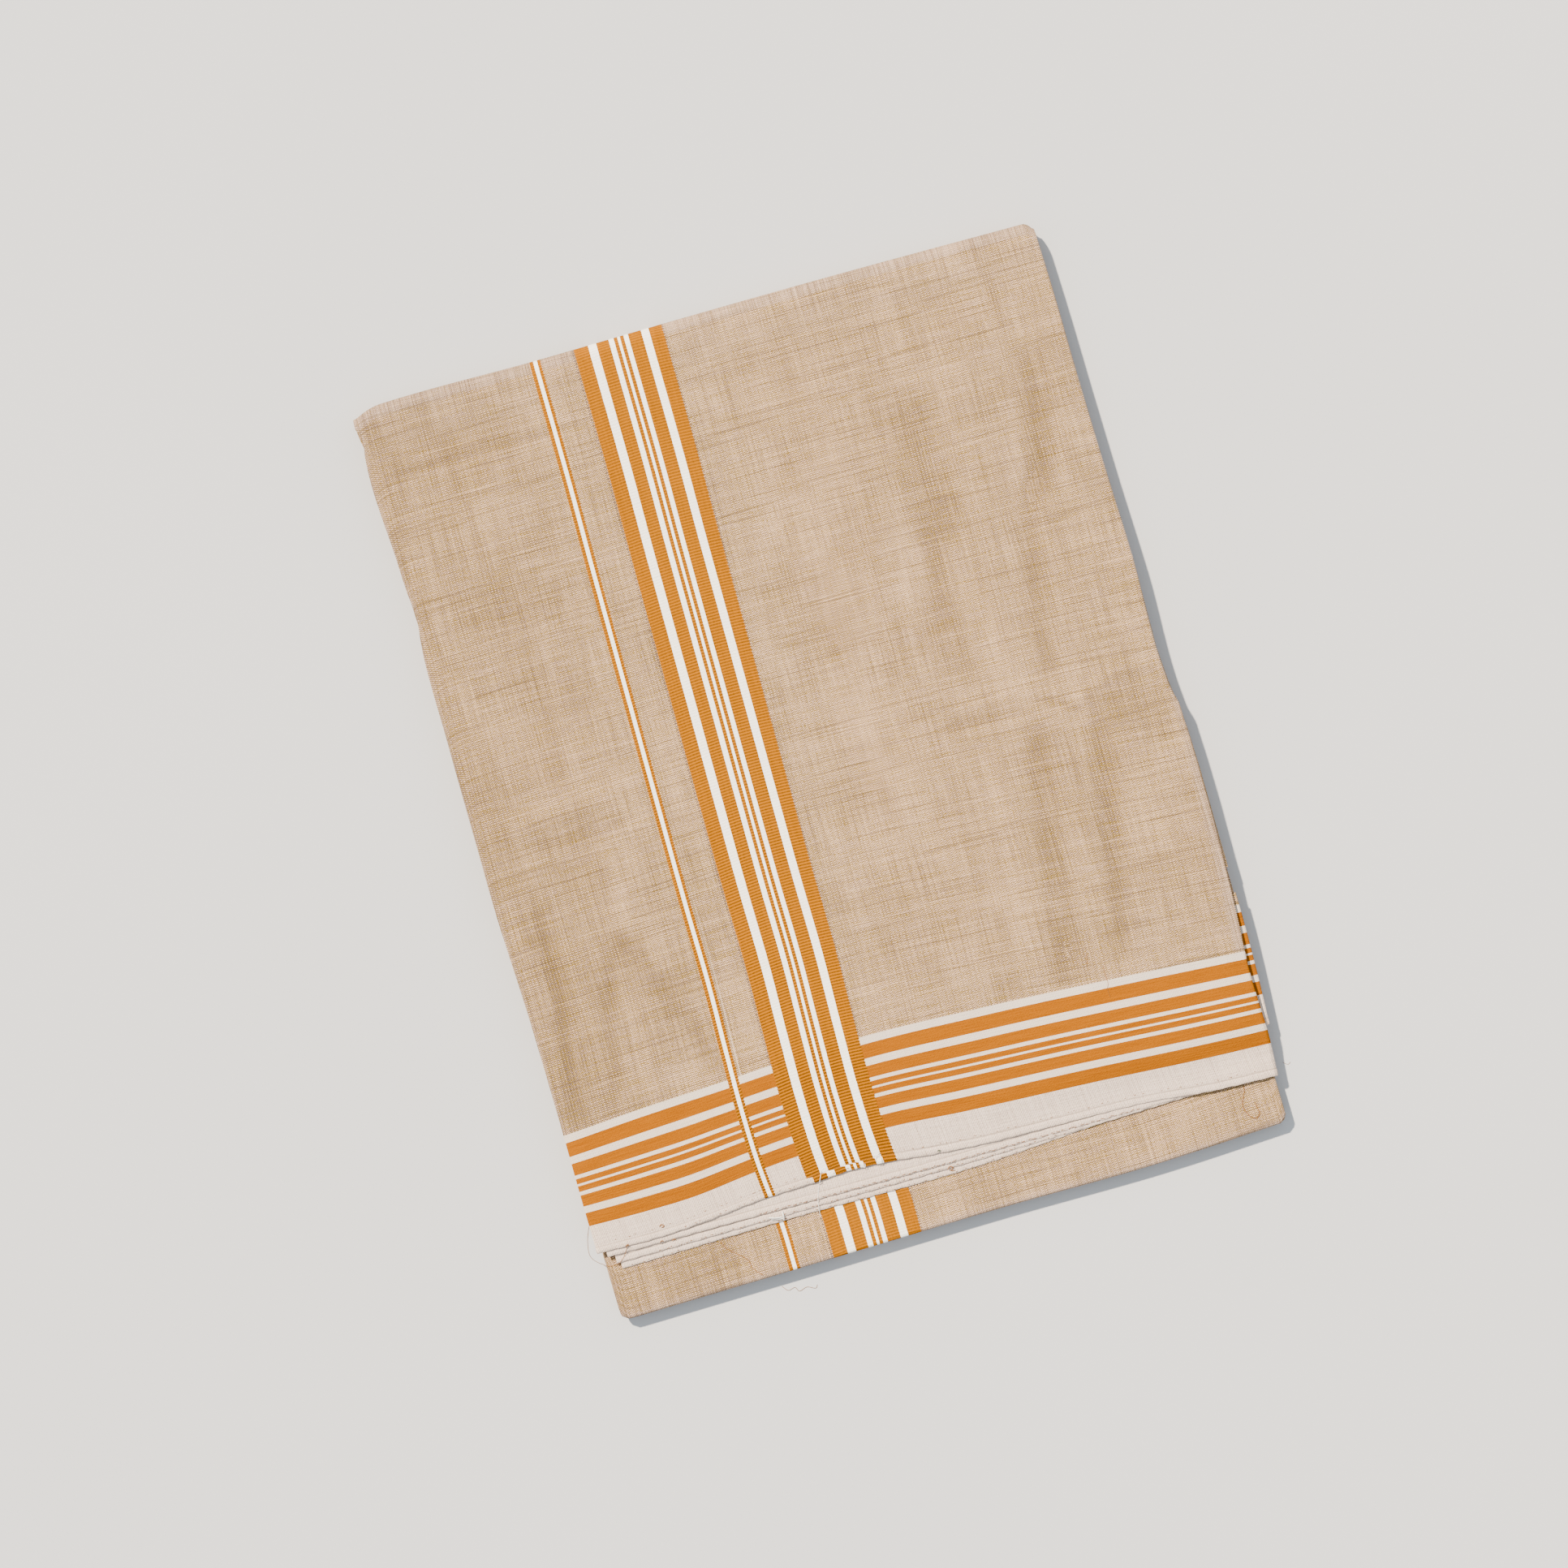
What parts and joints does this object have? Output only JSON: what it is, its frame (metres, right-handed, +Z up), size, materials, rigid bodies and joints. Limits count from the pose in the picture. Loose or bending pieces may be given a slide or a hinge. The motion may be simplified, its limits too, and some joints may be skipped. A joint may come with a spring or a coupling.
{
  "type": "folded dhoti cloth",
  "caption": "Woven cotton dhoti, folded flat: field cloth with striped side border and striped end, hems fanned over a closed fold.",
  "frame": {"origin": "middle of the underside, on the surface that the folded cloth lies on", "axes": "+Y along the folded length to the head fold, -Y to the hemmed ends, +X across the folded width to the right, +Z up through the layers"},
  "size_m": [0.3232, 0.4282, 0.0151],
  "materials": {
    "face_cloth": "plain-woven cotton, warp ivory, weft tan, ochre and white striped border, matt with a faint sheen",
    "end_cloth": "white weft band with ochre bars, hemmed, matt",
    "folded_cloth": "the same cotton seen at its folded edges, matt"
  },
  "bodies": {
    "root": {"face_stretch": "face_cloth", "end_layer_2": "end_cloth", "end_layer_3": "end_cloth", "end_layer_4": "end_cloth", "second_end": "end_cloth", "closed_fold": "face_cloth", "under_stretch": "face_cloth", "hidden_layers": "folded_cloth"}
  },
  "joints": []
}
